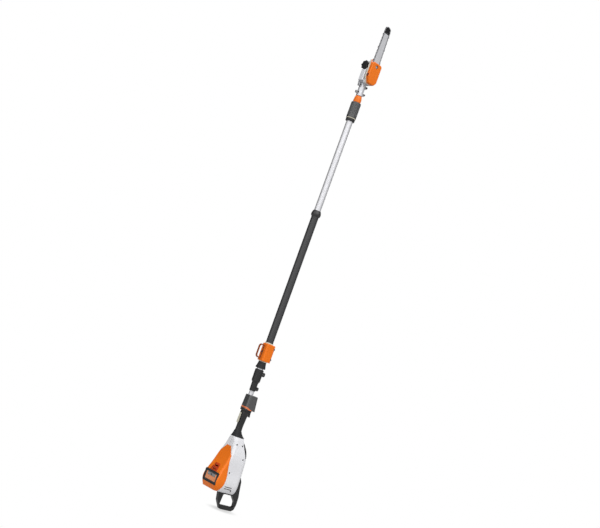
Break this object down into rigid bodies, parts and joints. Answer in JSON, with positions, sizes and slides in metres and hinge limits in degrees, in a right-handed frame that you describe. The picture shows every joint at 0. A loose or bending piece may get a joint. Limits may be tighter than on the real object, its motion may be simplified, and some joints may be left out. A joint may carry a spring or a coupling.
{
  "type": "telescoping pole saw",
  "caption": "Battery pole saw: telescoping aluminium pole with a bevel-geared bar-and-chain head on top, trigger grip, harness loop, motor housing with slide-in battery and loop foot below.",
  "frame": {"origin": "on the pole's axis at the middle of the rear grip, where the hand carries the tool", "axes": "+Z along the pole to the saw, +X to the trigger side, -X to the battery face, -Y to the sprocket cover side"},
  "size_m": [0.2157, 0.134, 2.6778],
  "materials": {
    "white_plastic": "moulded glass-filled plastic, fine satin grain",
    "orange_plastic": "moulded plastic in the body, fine satin grain",
    "rust_plastic": "moulded plastic, darker orange",
    "black_plastic": "moulded plastic, eroded grain",
    "grey_plastic": "moulded plastic, dark grey",
    "pale_plastic": "moulded plastic, pale grey",
    "tank_plastic": "blow-moulded plastic, milky white",
    "soft_rubber": "soft elastomer, dull",
    "tube_aluminium": "drawn tube, clear anodised",
    "cast_alloy": "die-cast alloy, silver lacquer",
    "bar_steel": "laminated rail, ground and lacquered",
    "chain_steel": "hardened links, hard chrome on the cutters",
    "steel": "turned and hardened steel",
    "screw_steel": "zinc-flake coated screws",
    "bronze": "sintered bronze",
    "copper": "enamelled copper windings on a laminated core",
    "circuit_board": "lacquered board with potted parts"
  },
  "bodies": {
    "base": {"housing_left": "white_plastic", "housing_right": "white_plastic", "battery_bay": "orange_plastic", "battery_tray": "black_plastic", "air_grille": "black_plastic", "housing_screws": "screw_steel", "ground_foot": "black_plastic", "motor_bracket": "cast_alloy", "motor_bearings": "steel", "motor_stator": "copper", "controller_board": "circuit_board", "boot": "soft_rubber", "grip_left": "black_plastic", "grip_right": "black_plastic", "guard": "grey_plastic", "guard_band": "rust_plastic", "control_pins": "steel", "trigger_switch": "black_plastic", "lower_tube": "tube_aluminium", "shaft_bushes": "bronze", "joint_sleeve": "black_plastic", "clamp_screws": "screw_steel", "hand_stop": "soft_rubber", "bracket_liner": "pale_plastic", "harness_bracket": "orange_plastic", "outer_tube": "tube_aluminium", "handle_hose": "soft_rubber", "clamp_base": "black_plastic", "clamp_collet": "pale_plastic"},
    "rotor": {"motor_rotor": "steel", "drive_shaft": "steel"},
    "battery": {"battery_case": "grey_plastic", "battery_cap": "black_plastic"},
    "charge_key": {"charge_button": "grey_plastic"},
    "latch": {"battery_latch": "rust_plastic"},
    "trigger_lever": {"trigger": "black_plastic"},
    "lockout": {"lock_lever": "pale_plastic"},
    "twist_clamp": {"clamp_sleeve": "grey_plastic", "clamp_nose": "orange_plastic"},
    "extension": {"inner_tube": "tube_aluminium", "tube_bushes": "pale_plastic", "gear_case": "cast_alloy", "neck_cap": "cast_alloy", "neck_screws": "screw_steel", "head_bearings": "steel", "oil_pump": "cast_alloy", "oil_tank": "tank_plastic", "bar_stud": "steel", "sprocket_cover": "orange_plastic", "cover_nut": "steel"},
    "head_drive": {"key_bar": "steel", "bevel_pinion": "steel"},
    "spindle": {"bevel_gear": "steel", "chain_sprocket": "steel"},
    "bar": {"guide_bar": "bar_steel", "saw_chain": "chain_steel", "tension_slider": "steel"},
    "bar_nose": {"nose_sprocket": "steel"},
    "tensioner": {"tension_screw": "steel"},
    "tank_cap": {"oil_cap": "black_plastic"}
  },
  "joints": [
    {"name": "rotor_spin", "type": "hinge", "parent": "base", "child": "rotor", "pos_m": [0, 0, -0.252], "axis": [0, 0, 1], "continuous": true},
    {"name": "battery_slide", "type": "slide", "parent": "base", "child": "battery", "axis": [-1, 0, 0], "range_m": [0, 0.14]},
    {"name": "charge_press", "type": "slide", "parent": "battery", "child": "charge_key", "axis": [1, 0, 0], "range_m": [0, 0.0015], "stiffness_N_per_m": 600, "springref_m": -0.001},
    {"name": "latch_lift", "type": "slide", "parent": "base", "child": "latch", "axis": [0, 0, 1], "range_m": [0, 0.005], "stiffness_N_per_m": 900, "springref_m": -0.003},
    {"name": "trigger_pull", "type": "hinge", "parent": "base", "child": "trigger_lever", "pos_m": [0.028, 0, 0.082], "axis": [0, 1, 0], "range_deg": [0, 8], "stiffness_Nm_per_rad": 1.2, "springref_deg": -6.88},
    {"name": "lock_press", "type": "hinge", "parent": "base", "child": "lockout", "pos_m": [-0.0154, 0, 0.064], "axis": [0, -1, 0], "range_deg": [0, 2.6], "stiffness_Nm_per_rad": 1.6, "springref_deg": -3.44},
    {"name": "clamp_twist", "type": "hinge", "parent": "base", "child": "twist_clamp", "pos_m": [0, 0, 1.7305], "axis": [0, 0, 1], "range_deg": [0, 90]},
    {"name": "pole_extend", "type": "slide", "parent": "base", "child": "extension", "axis": [0, 0, 1], "range_m": [0, 1.2]},
    {"name": "head_drive_spin", "type": "hinge", "parent": "extension", "child": "head_drive", "pos_m": [0, 0, 1.901], "axis": [0, 0, 1], "continuous": true},
    {"name": "spindle_spin", "type": "hinge", "parent": "extension", "child": "spindle", "pos_m": [0, 0, 1.929], "axis": [0, 1, 0], "continuous": true},
    {"name": "bar_tension", "type": "slide", "parent": "extension", "child": "bar", "axis": [0, 0, 1], "range_m": [-0.004, 0]},
    {"name": "bar_nose_spin", "type": "hinge", "parent": "bar", "child": "bar_nose", "pos_m": [0, -0.043, 2.1959], "axis": [0, 1, 0], "continuous": true},
    {"name": "tension_turn", "type": "hinge", "parent": "extension", "child": "tensioner", "pos_m": [-0.0105, -0.037, 1.967], "axis": [0, 0, 1], "range_deg": [0, 1440]},
    {"name": "cap_turn", "type": "hinge", "parent": "extension", "child": "tank_cap", "pos_m": [-0.03, -0.004, 1.981], "axis": [-1, 0, 0], "range_deg": [0, 90]}
  ],
  "couplings": [
    {"joint": "head_drive_spin", "follows": "rotor_spin", "ratio": 1},
    {"joint": "spindle_spin", "follows": "rotor_spin", "ratio": 0.75},
    {"joint": "bar_nose_spin", "follows": "rotor_spin", "ratio": 1.0106},
    {"joint": "tension_turn", "follows": "bar_tension", "rad_per_m": -6283}
  ]
}
